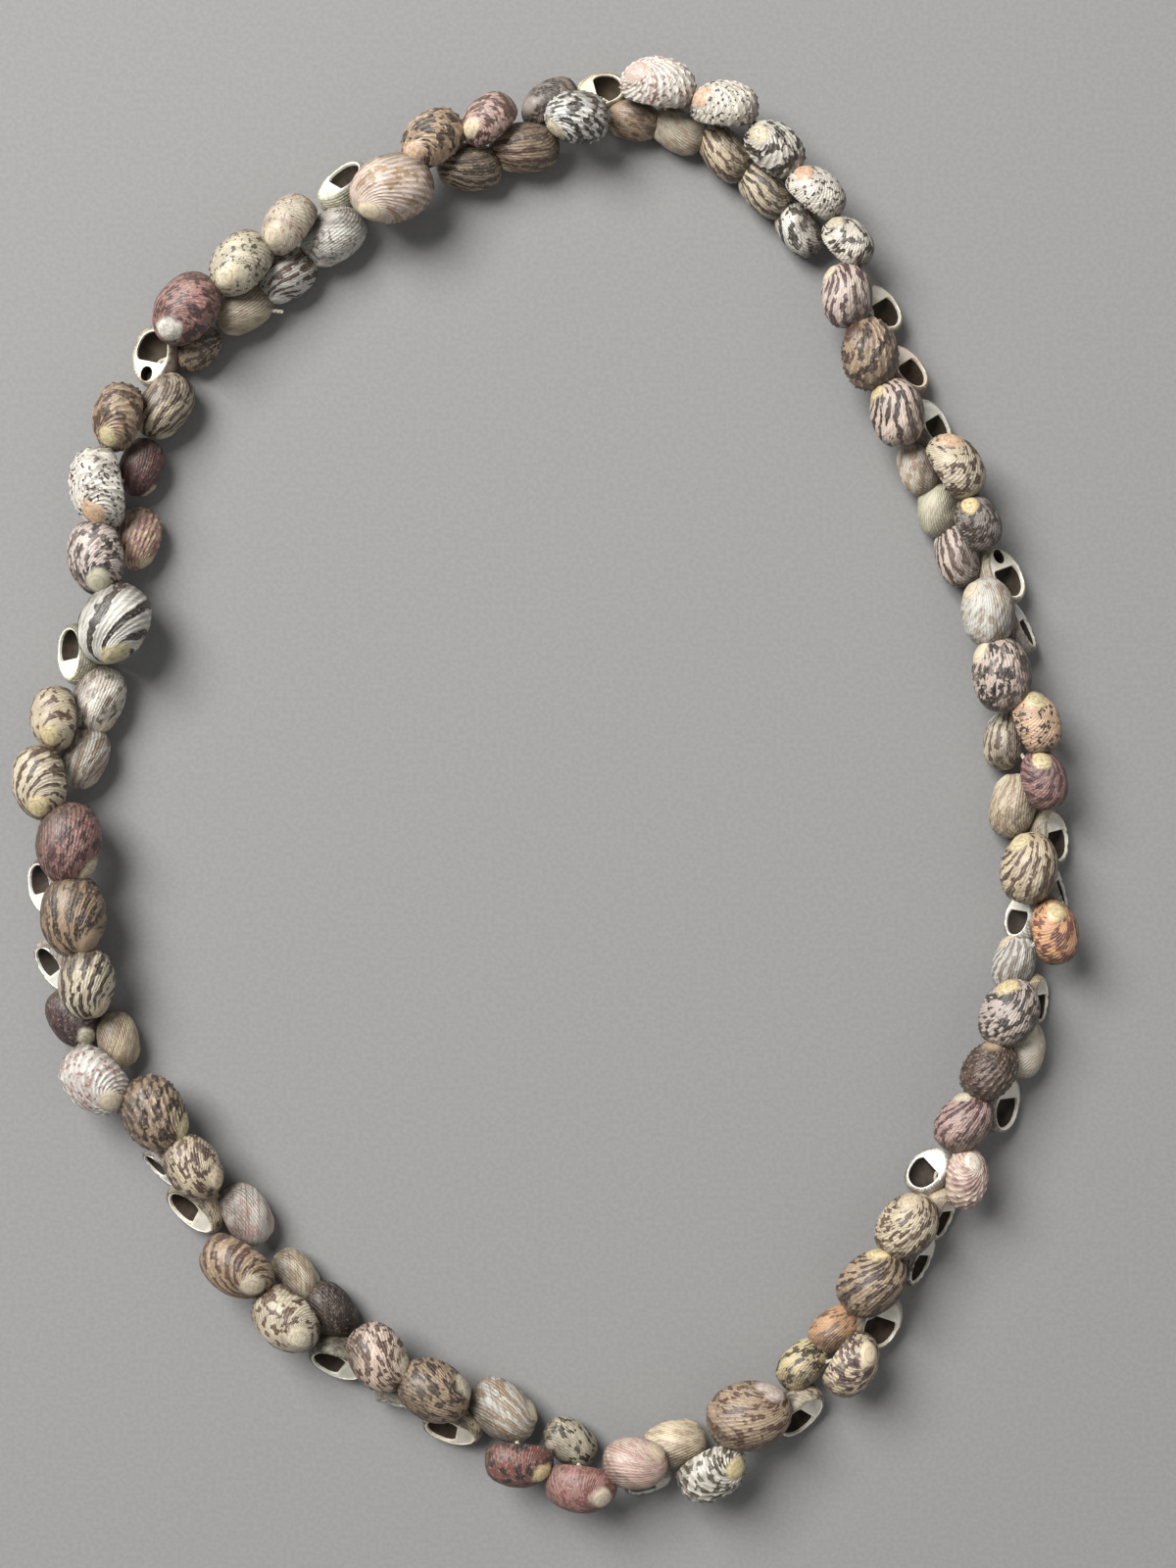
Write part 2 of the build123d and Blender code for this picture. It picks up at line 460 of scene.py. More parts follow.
    def box_middle(self) -> Vector:
        """Gives the middle of the loop's box from above."""
        across: list[float] = []
        along: list[float] = []
        shift = self.shell_length * (2 * self.blunt_share - 1) / 2
        for shell in self.shells:
            way = self.on_loop(shell.station)[1]
            middle = self.middle_of(shell) + way * shift * shell.size
            half_x = shell.size / 2 * math.hypot(self.shell_length * way.x, self.shell_width * way.y)
            half_y = shell.size / 2 * math.hypot(self.shell_length * way.y, self.shell_width * way.x)
            across += [middle.x - half_x, middle.x + half_x]
            along += [middle.y - half_y, middle.y + half_y]
        x = (min(across) + max(across)) / 2
        y = (min(along) + max(along)) / 2
        return Vector((x, y, 0.0))

    def place_of(self, shell: StrungShell, sway: Euler) -> Matrix:
        """Gives the matrix that puts a middling shell, modelled in metres, on the string.

        Args:
            shell: The shell.
            sway: The small turn that this one has of its own.

        Returns:
            The place, with the shell's size in it.
        """
        way = -self.on_loop(shell.station)[1]
        turned = Matrix(((way.x, -way.y, 0.0), (way.y, way.x, 0.0), (0.0, 0.0, 1.0))).to_4x4()
        turn = shell.lie.modelled_turn(shell.side) * shell.side
        roll = Matrix.Rotation(math.radians(turn), 4, "X")
        turned = turned @ Matrix.Rotation(math.radians(self.swing * shell.side), 4, "Z")
        place = Matrix.Translation(self.middle_of(shell) * MM) @ turned @ sway.to_matrix().to_4x4()
        nesting = self.top_nesting if shell.lie.on_top else self.low_nesting
        return place @ roll @ Matrix.Diagonal(tuple(part * shell.size for part in nesting) + (1.0,))


class Bench:
    """The modelling bench: the few moves by hand that the shells are shaped with."""

    @staticmethod
    def clear() -> None:
        """Deselects every object."""
        bpy.ops.object.select_all(action="DESELECT")

    @staticmethod
    @contextmanager
    def hands_on() -> Iterator[bmesh.types.BMesh]:
        """Gives the mesh that is being edited, and updates it after the change."""
        mesh = bpy.context.object.data
        yield bmesh.from_edit_mesh(mesh)
        bmesh.update_edit_mesh(mesh)

    @classmethod
    def pick(cls, test: Callable[..., bool], kind: str = "VERT") -> None:
        """Selects the vertices or faces of the mesh that is being edited that pass a test.

        Args:
            test: A function of one vertex or face.
            kind: VERT or FACE.
        """
        bpy.ops.mesh.select_mode(type=kind)
        bpy.ops.mesh.select_all(action="DESELECT")
        with cls.hands_on() as work:
            for item in work.verts if kind == "VERT" else work.faces:
                if test(item):
                    item.select_set(True)
            work.select_flush_mode()

    @staticmethod
    def extrude(inwards: float, lift: float, centre: tuple[float, float, float]) -> None:
        """Extrudes what is selected.

        Args:
            inwards: The share of its width that is left.
            lift: How far it goes up, in millimetres.
            centre: The point that it is drawn in to.
        """
        bpy.ops.mesh.extrude_region_move()
        bpy.ops.transform.resize(value=(inwards, inwards, 1), center_override=centre)
        bpy.ops.transform.translate(value=(0, 0, lift * MM))


@dataclass
class ShellModel:
    """One middling shell, with its spire end along X and its back up Z. Its sizes are in
    millimetres, and its mesh is in metres."""

    relief: Relief
    broken: bool = False
    drilled: bool = False
    length: float = 14.8
    width: float = 13.0
    base: float = -3.0
    blunt_share: float = 0.55
    meridians: int = 72
    rings: int = 36
    twist: float = 0.28
    twist_start: float = 0.04
    fullness: float = 2.4
    last_share: float = 0.985
    most_swell: float = 1.3
    spire_taper: float = 0.10
    spire_way: Vector = field(default_factory=lambda: Vector((0.62, 0.56, 0.55)).normalized())
    spire_reach: float = 0.16
    spire_rise: float = 0.6
    spire_steps: tuple[float, ...] = (1.0, 0.8, 0.55)
    ribs_from: float = 0.15
    knob_height: float = 0.26
    rings_per_knob: int = 3
    growth_rings: tuple[int, ...] = (11, 15, 20, 22)
    growth_height: float = 0.08
    lip_steps: tuple[Point, ...] = ((0.96, -0.2), (0.95, 0.0), (0.97, 0.1))
    chip_waves: tuple[tuple[int, float, float], ...] = ((5, 1.0, 1.0), (9, 0.0, 1.0), (15, 0.0, 0.5))
    chip_depth: float = 0.4
    deck_edge: float = 0.9
    deck_slack: float = 0.6
    flatness: float = 0.98
    least_corners: int = 12
    opening_rim: float = 0.2
    corner_reach: float = 2.6
    corner_draw: float = 0.25
    cavity_steps: tuple[Point, ...] = ((0.98, 0.7), (0.96, 1.6), (0.85, 1.8), (0.6, 1.4))
    cavity_middle: float = -2.6
    inside_from: float = 1.0
    hole_place: Point = (3.7, 0.3)
    hole_radius: float = 1.8
    bit_sides: int = 24
    bit_length: float = 5.0
    bit_lift: float = 1.0
    merge_distance: float = 0.001
    pole_share: float = 0.001
    sharp_angle: float = 50.0
    shell: Optional[bpy.types.Object] = field(default=None, init=False)

    def build(self, name: str) -> bpy.types.Object:
        """Models the shell.

        Args:
            name: The name of the object.

        Returns:
            The finished shell, with its outside, its mouth and its inside, painted dark as shade, in
            slots of their own.
        """
        Bench.clear()
        turn = Vector((0, 0, 1)).rotation_difference(self.spire_way).to_euler()
        bpy.ops.mesh.primitive_uv_sphere_add(
            segments=self.meridians, ring_count=self.rings, radius=self.width / 2 * MM,
            rotation=turn,
        )
        self.shell = bpy.context.object
        self.shell.name = name
        bpy.ops.object.transform_apply(location=True, rotation=True, scale=True)
        for slot_name in ("outside", "mouth", "inside"):
            self.shell.data.materials.append(bpy.data.materials.new(slot_name))
        self.mark_coil()
        self.twist_ribs()
        bpy.ops.object.mode_set(mode="EDIT")
        self.raise_ribs()
        self.raise_spire()
        self.draw_out()
        self.fill_out()
        self.open_mouth()
        bpy.ops.object.mode_set(mode="OBJECT")
        if self.drilled:
            self.drill()
        self.lay_coil()
        bpy.ops.object.shade_smooth_by_angle(angle=math.radians(self.sharp_angle))
        return self.shell

    def mark_coil(self) -> None:
        """Writes on each vertex its turn round the spire, and its share of the way from it."""
        mesh = self.shell.data
        side = self.spire_way.cross(Vector((0, 0, 1))).normalized()
        down = self.spire_way.cross(side).normalized()
        turns = mesh.attributes.new("coil_turn", "FLOAT", "POINT")
        shares = mesh.attributes.new("coil_share", "FLOAT", "POINT")
        for vertex in mesh.vertices:
            way = vertex.co.normalized()
            shares.data[vertex.index].value = way.angle(self.spire_way, 0.0) / math.pi
            turns.data[vertex.index].value = math.atan2(way.dot(side), way.dot(down)) / math.tau + 0.5

    def twist_ribs(self) -> None:
        """Turns each ring round the spire, so that the ribs leave it in widening curves."""
        shares = self.shell.data.attributes["coil_share"].data
        for vertex in self.shell.data.vertices:
            grown = math.log((shares[vertex.index].value + self.twist_start) / self.twist_start)
            turn = Matrix.Rotation(-self.twist * math.tau * grown, 3, self.spire_way)
            vertex.co = turn @ vertex.co

    def pick_coil(self, test: Callable[[int, int, float], bool]) -> None:
        """Selects vertices by their place on the coil.

        Args:
            test: A function of a vertex's meridian, its ring and its share of the way from the
                spire.
        """
        work = bmesh.from_edit_mesh(self.shell.data)
        turn = work.verts.layers.float["coil_turn"]
        share = work.verts.layers.float["coil_share"]

        def passes(vertex: bmesh.types.BMVert) -> bool:
            """Puts the test to one vertex."""
            meridian, ring = round(vertex[turn] * self.meridians), round(vertex[share] * self.rings)
            return test(meridian, ring, vertex[share])

        Bench.pick(passes)

    def raise_ribs(self) -> None:
        """Raises the ribs, which run round the spire, and a few ridges where growth stopped."""
        spacing = self.meridians // self.relief.ribs

        def on_rib(meridian: int, ring: int, share: float) -> bool:
            """Tells the vertices of the ribs."""
            return meridian % spacing == 0 and share > self.ribs_from

        def on_knob(meridian: int, ring: int, share: float) -> bool:
            """Tells the vertices of the ribs' knobs."""
            return on_rib(meridian, ring, share) and ring % self.rings_per_knob == 0

        if self.relief.height > 0:
            self.pick_coil(on_rib)
            bpy.ops.transform.shrink_fatten(value=self.relief.height * MM)
        if self.relief is Relief.BOLD:
            self.pick_coil(on_knob)
            bpy.ops.transform.shrink_fatten(value=self.knob_height * MM)
        for ridge in self.growth_rings:
            self.pick_coil(lambda meridian, ring, share: ring == ridge)
            bpy.ops.transform.shrink_fatten(value=self.growth_height * MM)

    def raise_spire(self) -> None:
        """Raises the knob of the spire in steps, each narrower than the one before."""
        rise = self.spire_way * self.spire_rise / len(self.spire_steps) * MM
        for step in self.spire_steps:
            self.pick_coil(lambda meridian, ring, share: share < self.spire_reach * step)
            bpy.ops.transform.translate(value=rise)

    def draw_out(self) -> None:
        """Draws the sharp and the blunt end out to the shell's length."""
        for sign, share in ((1, 1 - self.blunt_share), (-1, self.blunt_share)):
            stretch = self.length * share / (self.width / 2)
            Bench.pick(lambda vertex: vertex.co.x * sign > 0)
            bpy.ops.transform.resize(value=(stretch, 1, 1), center_override=(0, 0, 0))

    def fill_out(self) -> None:
        """Makes the lip's end broad, where the sphere would leave it round."""
        sharp, blunt = self.length * (1 - self.blunt_share) * MM, self.length * self.blunt_share * MM
        with Bench.hands_on() as work:
            for vertex in work.verts:
                reach = sharp if vertex.co.x > 0 else blunt
                along = min(abs(vertex.co.x) / reach, self.last_share)
                full = (1 - along**self.fullness) ** (1 / self.fullness)
                swell = min(full / math.sqrt(1 - along**2), self.most_swell)
                if vertex.co.x > 0:
                    swell = 1 - self.spire_taper * along
                vertex.co.y *= swell
                vertex.co.z *= swell

    def open_mouth(self) -> None:
        """Cuts the base flat, and forms the lip, the deck across the mouth and the opening."""
        bpy.ops.mesh.select_all(action="SELECT")
        bpy.ops.mesh.bisect(
            plane_co=(0, 0, self.base * MM), plane_no=(0, 0, 1), clear_inner=True, use_fill=False
        )
        if self.broken:
            self.break_lip()
        bpy.ops.mesh.duplicate()
        self.form_lip()
        self.hollow_out()
        self.sort_faces()
        bpy.ops.mesh.select_all(action="SELECT")
        bpy.ops.mesh.remove_doubles(threshold=self.merge_distance * MM)
        bpy.ops.mesh.normals_make_consistent(inside=False)

    def break_lip(self) -> None:
        """Chips the cut edge at the lip, so that the pearly layer stands out past it."""
        with Bench.hands_on() as work:
            for vertex in work.verts:
                if vertex.select and vertex.co.x < 0:
                    angle = math.atan2(vertex.co.y, vertex.co.x)
                    chips = [part * math.sin(count * angle + shift)
                             for count, shift, part in self.chip_waves]
                    vertex.co.z += max(sum(chips), 0.0) * self.chip_depth * MM

    def form_lip(self) -> None:
        """Turns the lip inwards from the cut edge, and closes the mouth with a flat deck."""
        middle = (0.0, 0.0, self.base * MM)
        for inwards, lift in self.lip_steps:
            Bench.extrude(inwards, lift, middle)
            with Bench.hands_on() as work:
                for face in work.faces:
                    if any(vertex.select for vertex in face.verts):
                        face.material_index = RIM if lift <= 0 else MOUTH
        bpy.ops.transform.resize(value=(1, 1, 0), center_override=middle)
        bpy.ops.mesh.edge_face_add()
        bpy.ops.mesh.bisect(
            plane_co=(self.deck_edge * MM, 0, 0), plane_no=(1, 0, 0), use_fill=False
        )

    def is_opening(self, face: bmesh.types.BMFace) -> bool:
        """Tells the flat face on the lip's side of the deck's edge."""
        centre = face.calc_center_median() / MM
        flat = abs(face.normal.z) > self.flatness and centre.z < self.base + self.deck_slack
        return flat and len(face.verts) > self.least_corners and centre.x < self.deck_edge

    def hollow_out(self) -> None:
        """Sinks the opening into the shell, with its corners at the deck drawn in."""
        Bench.pick(self.is_opening, "FACE")
        bpy.ops.mesh.inset(thickness=self.opening_rim * MM, depth=0)
        with Bench.hands_on() as work:
            for vertex in work.verts:
                if vertex.select:
                    near = 1 + (vertex.co.x / MM - self.deck_edge) / self.corner_reach
                    vertex.co.y *= 1 - self.corner_draw * max(near, 0.0) ** 2
        for inwards, lift in self.cavity_steps:
            Bench.extrude(inwards, lift, (self.cavity_middle * MM, 0, 0))

    def sort_faces(self) -> None:
        """Gives the rim the outside's slot, and the deeper faces the inside's, which is painted shade.
        """
        bpy.ops.mesh.select_linked()
        deep = (self.base + self.inside_from) * MM
        with Bench.hands_on() as work:
            for face in work.faces:
                if face.select and face.material_index == RIM:
                    face.material_index = OUTSIDE
                elif face.select:
                    face.material_index = SHADED_INSIDE if face.calc_center_median().z > deep else MOUTH

    def drill(self) -> None:
        """Drills the thread's hole into the shelf of the mouth."""
        x, y = self.hole_place
        bpy.ops.mesh.primitive_cylinder_add(
            vertices=self.bit_sides, radius=self.hole_radius * MM, depth=self.bit_length * MM,
            location=(x * MM, y * MM, (self.base + self.bit_lift) * MM),
        )
        bit = bpy.context.object
        for material in self.shell.data.materials:
            bit.data.materials.append(material)
        # The hole's walls take the painted shade of the inside
        for face in bit.data.polygons:
            face.material_index = SHADED_INSIDE
        cut = self.shell.modifiers.new("hole", "BOOLEAN")
        cut.object = bit
        cut.solver = "EXACT"
        bpy.context.view_layer.objects.active = self.shell
        bpy.ops.object.modifier_apply(modifier=cut.name)
        bpy.data.objects.remove(bit)
        self.shell.select_set(True)

    def lay_coil(self) -> None:
        """Lays the coil's own map over the outside: its turn across, its share of the way up."""
        mesh = self.shell.data
        turns = mesh.attributes["coil_turn"].data
        shares = mesh.attributes["coil_share"].data
        coil = mesh.uv_layers.new(name="coil")
        for face in mesh.polygons:
            values = [turns[mesh.loops[i].vertex_index].value for i in face.loop_indices]
            crossing = max(values) - min(values) > 0.5
            for loop_index, value in zip(face.loop_indices, values):
                share = shares[mesh.loops[loop_index].vertex_index].value
                if share < self.pole_share:
                    value = sum(values) / len(values)
                elif crossing and value < 0.5:
                    value += 1.0
                coil.data[loop_index].uv = (value, share)


class NodeDesk:
    """Adds and joins the nodes of one material or node group."""

    def __init__(self, tree: bpy.types.NodeTree) -> None:
        """Starts on a tree."""
        self.tree = tree

    def feed(self, node: bpy.types.Node, **inputs) -> None:
        """Joins or sets a node's inputs.

        Args:
            node: The node.
            inputs: Its inputs by name, or in_0, in_1 by place: a socket or a plain value.
        """
        for key, value in inputs.items():
            place = int(key[3:]) if key.startswith("in_") else key.replace("_", " ")
            socket = node.inputs[place]
            if isinstance(value, Socket):
                self.tree.links.new(value, socket)
            else:
                socket.default_value = value

    def add(self, kind: str, settings: Optional[dict] = None, **inputs) -> bpy.types.Node:
        """Adds a node, sets it and joins its inputs.

        Args:
            kind: The node's type.
            settings: Values of the node's own settings.
            inputs: Its inputs, as feed takes them.

        Returns:
            The node.
        """
        node = self.tree.nodes.new(kind)
        for key, value in (settings or {}).items():
            setattr(node, key, value)
        self.feed(node, **inputs)
        return node

    def group(self, tree: bpy.types.NodeTree, **inputs) -> Sockets:
        """Places a node group and gives its outputs."""
        return self.add("ShaderNodeGroup", {"node_tree": tree}, **inputs).outputs

    def place(self) -> Socket:
        """Gives the place on the object."""
        return self.add("ShaderNodeTexCoord").outputs["Object"]

    def attribute(self, name: str, output: str = "Color") -> Socket:
        """Reads an attribute of the mesh."""
        return self.add("ShaderNodeAttribute", {"attribute_name": name}).outputs[output]

    def split(self, vector: Socket) -> tuple[Socket, Socket]:
        """Gives the first two parts of a vector."""
        parts = self.add("ShaderNodeSeparateXYZ", None, in_0=vector)
        return parts.outputs[0], parts.outputs[1]

    def math(self, operation: str, *values: Value) -> Socket:
        """Adds a math node for sockets or numbers, and gives its result."""
        inputs = {f"in_{place}": value for place, value in enumerate(values)}
        return self.add("ShaderNodeMath", {"operation": operation}, **inputs).outputs[0]

    def total(self, values: list[Value], weights: list[float]) -> Socket:
        """Adds weighted values up.

        Args:
            values: The values.
            weights: How much of each there is.

        Returns:
            The sum.
        """
        total: Value = 0.0
        for value, weight in zip(values, weights):
            total = self.math("ADD", total, self.math("MULTIPLY", value, weight))
        return total

    def step(self, value: Socket, low: float, high: float, to: Point = (0.0, 1.0)) -> Socket:
        """Maps a value smoothly from one range to another.

        Args:
            value: The socket to map.
            low: Where the change begins.
            high: Where it ends.
            to: The values at both ends.

        Returns:
            The result's socket.
        """
        node = self.add(
            "ShaderNodeMapRange", {"interpolation_type": "SMOOTHSTEP"},
            in_0=value, in_1=low, in_2=high, in_3=to[0], in_4=to[1],
        )
        return node.outputs[0]

    def mix(self, share: Value, first: Union[Socket, Colour], second: Union[Socket, Colour]) -> Socket:
        """Mixes two colours, with a share of the second one."""
        node = self.add("ShaderNodeMix", {"data_type": "RGBA"}, in_0=share, in_6=first, in_7=second)
        return node.outputs[2]

    def noise(self, vector: Socket, scale: float, detail: float = 3.0) -> Socket:
        """Gives the value of a noise texture."""
        return self.add("ShaderNodeTexNoise", None, Vector=vector, Scale=scale, Detail=detail).outputs[0]

    def noise_about_nought(self, vector: Socket, scale: float, detail: float) -> Socket:
        """Gives the value of a noise texture, with its middle at nought."""
        return self.math("SUBTRACT", self.noise(vector, scale, detail), 0.5)


def start_group(
    name: str, takes: dict[str, str], gives: dict[str, str]
) -> tuple[NodeDesk, Sockets, bpy.types.Node]:
    """Starts a shader node group.

    Args:
        name: The group's name.
        takes: Its inputs: a name and a kind of socket.
        gives: Its outputs: a name and a kind of socket.

    Returns:
        The desk, the sockets of its input node and its output node.
    """
    tree = bpy.data.node_groups.new(name, "ShaderNodeTree")
    for way, sockets in (("INPUT", takes), ("OUTPUT", gives)):
        for label, kind in sockets.items():
            tree.interface.new_socket(label, in_out=way, socket_type=kind)
    start = tree.nodes.new("NodeGroupInput")
    return NodeDesk(tree), start.outputs, tree.nodes.new("NodeGroupOutput")


def start_material(name: str) -> tuple[bpy.types.Material, NodeDesk, bpy.types.Node]:
    """Starts a material.

    Args:
        name: What it is called.

    Returns:
        The material, its desk and its shader.
    """
    material = bpy.data.materials.new(name)
    material.use_nodes = True
    return material, NodeDesk(material.node_tree), material.node_tree.nodes["Principled BSDF"]


@dataclass
class ShellEffects:
    """The node groups that all the shells' materials share. Scales are counted a metre, and grains
    round the spire and from it to its far side."""

    takes: ClassVar[dict[str, str]] = {"Coil": VECTOR, "Place": VECTOR, "Own": FLOAT, "Ribs": FLOAT}
    wear_and_shading_takes: ClassVar[dict[str, str]] = {
        "Ground": COLOUR, "Marks": COLOUR, "Spire": COLOUR, "Mask": FLOAT, "Stain": FLOAT,
        "Crest": FLOAT, "Growth": FLOAT, "Coil": VECTOR, "Place": VECTOR,
    }
    bead_rows: float = 14.0
    pit_scale: float = 2400.0
    cloud_scale: float = 210.0
    fine_scale: float = 1300.0
    bend_scale: float = 170.0
    spot_scale: float = 480.0
    dot_scale: float = 900.0
    growth_grain: Point = (5.0, 60.0)
    dash_grain: Point = (23.0, 13.0)
    patch_grain: Point = (10.0, 6.0)
    teeth: float = 26.0
    spire_seam: float = 12.0
    # Paler shell colour: bleached mottle, and painted highlight with some wear on the rib crests
    bleach_and_highlight: Colour = (0.78, 0.72, 0.6, 1.0)
    # Darker colour for the rib grooves: painted shade, with some grime
    groove_shade_and_grime: Colour = (0.10, 0.07, 0.045, 1.0)
    growth_line: Colour = (0.12, 0.085, 0.06, 1.0)
    low_shade: Colour = (0.07, 0.05, 0.036, 1.0)
    suture: Colour = (0.25, 0.17, 0.1, 1.0)

    def __post_init__(self) -> None:
        """Builds each group once."""
        self.relief = self.make_relief()
        self.wear_and_shading = self.make_wear_and_shading()
        self.marks = {kind: self.make_marks(kind) for kind in Finish}

    @staticmethod
    def grain(desk: NodeDesk, out: Sockets, counts: Point) -> Socket:
        """Gives noise drawn out along the ribs, without a seam, with its middle at nought.

        Args:
            desk: The desk of the group.
            out: What the group takes.
            counts: How many grains go round the spire, and how many from it to its far side.

        Returns:
            The noise's socket.
        """
        turn, share = desk.split(out["Coil"])
        angle = desk.math("MULTIPLY", turn, math.tau)
        x = desk.math("MULTIPLY", desk.math("COSINE", angle), counts[0] / math.tau)
        y = desk.math("MULTIPLY", desk.math("SINE", angle), counts[0] / math.tau)
        at = desk.add(
            "ShaderNodeCombineXYZ", None, in_0=desk.math("ADD", x, out["Own"]),
            in_1=desk.math("ADD", y, out["Own"]), in_2=desk.math("MULTIPLY", share, counts[1]),
        )
        return desk.noise_about_nought(at.outputs[0], 1.0, 2.0)

    def make_relief(self) -> bpy.types.NodeTree:
        """Ribs round the spire and growth lines across them, as a height and two masks."""
        gives = {"Height": FLOAT, "Crest": FLOAT, "Growth": FLOAT}
        desk, out, end = start_group("ribs_and_growth", self.takes, gives)
        turn, share = desk.split(out["Coil"])
        rows = desk.math("MULTIPLY", turn, out["Ribs"])
        wave = desk.math("COSINE", desk.math("MULTIPLY", rows, math.tau))
        rounds = desk.math("COSINE", desk.math("MULTIPLY", share, self.bead_rows * math.tau))
        beads = desk.step(rounds, -0.9, 0.5, (0.45, 1.0))
        crest = desk.math("MULTIPLY", desk.step(wave, -0.7, 0.9), beads)
        growth = self.grain(desk, out, self.growth_grain)
        pits = desk.noise(out["Place"], self.pit_scale)
        rough = desk.total([crest, growth, pits], [1.0, 1.4, 0.7])
        height = desk.math("MULTIPLY", rough, desk.step(share, 0.1, 0.2, (0.25, 1.0)))
        desk.feed(end, Height=height, Crest=crest, Growth=desk.step(growth, 0.02, 0.14))
        return desk.tree

    def make_wear_and_shading(self) -> bpy.types.NodeTree:
        """The finished colour: marks on the ground, painted shade with some grime in the grooves,
        painted shade low down, painted highlights with some wear on the crests, and a worn spire.
        """
        gives = {"Colour": COLOUR, "Roughness": FLOAT}
        desk, out, end = start_group("wear_shading_and_spire", self.wear_and_shading_takes, gives)
        turn, share = desk.split(out["Coil"])
        cloud = desk.noise(out["Place"], self.cloud_scale, 4.0)
        fine = desk.noise(out["Place"], self.fine_scale)
        ground = desk.mix(out["Stain"], out["Ground"], out["Marks"])
        lighter = desk.mix(0.4, ground, self.bleach_and_highlight)
        colour = desk.mix(desk.step(fine, 0.5, 0.7, (0.0, 0.5)), ground, lighter)
        held = desk.math("MULTIPLY", out["Mask"], desk.step(cloud, 0.3, 0.55, (0.85, 1.0)))
        colour = desk.mix(held, colour, out["Marks"])
        groove = desk.math("SUBTRACT", 1.0, out["Crest"])
        for mask, spread, tone in (
            # Painted shade, with some grime, in the rib grooves
            (groove, desk.step(cloud, 0.35, 0.65, (0.18, 0.5)), self.groove_shade_and_grime),
            (out["Growth"], desk.step(share, 0.3, 0.6, (0.2, 0.55)), self.growth_line),
            (desk.step(share, 0.42, 0.7), desk.step(cloud, 0.3, 0.6, (0.35, 0.7)), self.low_shade),
            # Paler rib crests: painted highlight, with some wear
            (out["Crest"], desk.step(fine, 0.45, 0.7, (0.0, 0.32)), lighter),
        ):
            colour = desk.mix(desk.math("MULTIPLY", mask, spread), colour, tone)
        edge = desk.math("ADD", share, desk.math("MULTIPLY", cloud, 0.16))
        worn = desk.step(edge, 0.19, 0.24, (0.95, 0.0))
        coil = desk.math("ADD", turn, desk.math("MULTIPLY", share, self.spire_seam))
        seam = desk.step(desk.math("PINGPONG", coil, 0.5), 0.0, 0.12, (0.45, 0.0))
        tone = desk.mix(desk.step(fine, 0.4, 0.7, (0.0, 0.4)), out["Spire"], out["Marks"])
        colour = desk.mix(worn, colour, desk.mix(seam, tone, self.suture))
        desk.feed(end, Colour=colour, Roughness=desk.step(fine, 0.3, 0.7, (0.34, 0.6)))
        return desk.tree

    def make_marks(self, kind: Finish) -> bpy.types.NodeTree:
        """One kind of marking, as a mask, with a fainter stain round it.

        Args:
            kind: Which marking.

        Returns:
            The group.
        """
        gives = {"Mask": FLOAT, "Stain": FLOAT}
        desk, out, end = start_group("marks_" + kind.label, self.takes, gives)
        turn, share = desk.split(out["Coil"])
        patches = self.grain(desk, out, self.patch_grain)

        def own_noise(scale: float, detail: float) -> Socket:
            """Gives noise of which each shell has a stretch of its own."""
            own = desk.add("ShaderNodeVectorMath", None, in_0=out["Place"], in_1=out["Own"])
            return desk.noise_about_nought(own.outputs[0], scale, detail)

        def slip() -> Socket:
            """Gives each rib a value by chance."""
            rib = desk.math("ROUND", desk.math("MULTIPLY", turn, out["Ribs"]))
            return desk.add("ShaderNodeTexWhiteNoise", {"noise_dimensions": "1D"}, W=rib).outputs[0]

        def total_of(weights: dict[str, float]) -> Socket:
            """Adds the named values up."""
            return desk.total([makers[name]() for name in weights], list(weights.values()))

        def wave() -> Socket:
            """Gives the sine of what the waves follow, in whole waves."""
            return desk.math("SINE", desk.math("MULTIPLY", total_of(kind.value.waves), math.tau))

        makers: dict[str, Callable[[], Socket]] = {
            "turn": lambda: turn,
            "share": lambda: share,
            "patches": lambda: patches,
            "dashes": lambda: self.grain(desk, out, self.dash_grain),
            "spots": lambda: own_noise(self.spot_scale, 2.0),
            "dots": lambda: own_noise(self.dot_scale, 1.0),
            "bend": lambda: desk.noise_about_nought(out["Place"], self.bend_scale, 2.0),
            "tooth": lambda: desk.math("PINGPONG", desk.math("MULTIPLY", turn, self.teeth), 1.0),
            "slip": slip,
            "wave": wave,
        }
        mask = desk.step(total_of(kind.value.mask), *kind.value.rise, (0.0, kind.value.most))
        desk.feed(end, Mask=mask, Stain=desk.step(patches, -0.12, 0.2, (0.0, 0.34)))
        return desk.tree


@dataclass(frozen=True)
class ShellFinish:
    """The outside of the shells with one kind of marking."""

    kind: Finish
    bump: float = 0.55
    bump_depth: float = 0.00025
    coat: float = 0.15
    coat_roughness: float = 0.3

    def material(self, effects: ShellEffects) -> bpy.types.Material:
        """Makes the material.

        Args:
            effects: The shared node groups.

        Returns:
            The material, which reads each shell's own tints.
        """
        material, desk, shader = start_material("shell_" + self.kind.label)
        coil = desk.add("ShaderNodeUVMap", {"uv_map": "coil"}).outputs[0]
        lie = {"Coil": coil, "Place": desk.place()}
        own = {"Own": desk.attribute("own", "Fac"), "Ribs": desk.attribute("ribs", "Fac")}
        relief = desk.group(effects.relief, **lie, **own)
        marks = desk.group(effects.marks[self.kind], **lie, **own)
        wear_and_shading = desk.group(
            effects.wear_and_shading, **lie, Ground=desk.attribute("ground"), Marks=desk.attribute("mark"),
            Spire=desk.attribute("spire"), Mask=marks["Mask"], Stain=marks["Stain"],
            Crest=relief["Crest"], Growth=relief["Growth"],
        )
        bump = desk.add(
            "ShaderNodeBump", None, Strength=self.bump, Distance=self.bump_depth,
            Height=relief["Height"],
        )
        desk.feed(
            shader, Base_Color=wear_and_shading["Colour"], Roughness=wear_and_shading["Roughness"], Normal=bump.outputs[0],
            Coat_Weight=self.coat, Coat_Roughness=self.coat_roughness,
        )
        return material


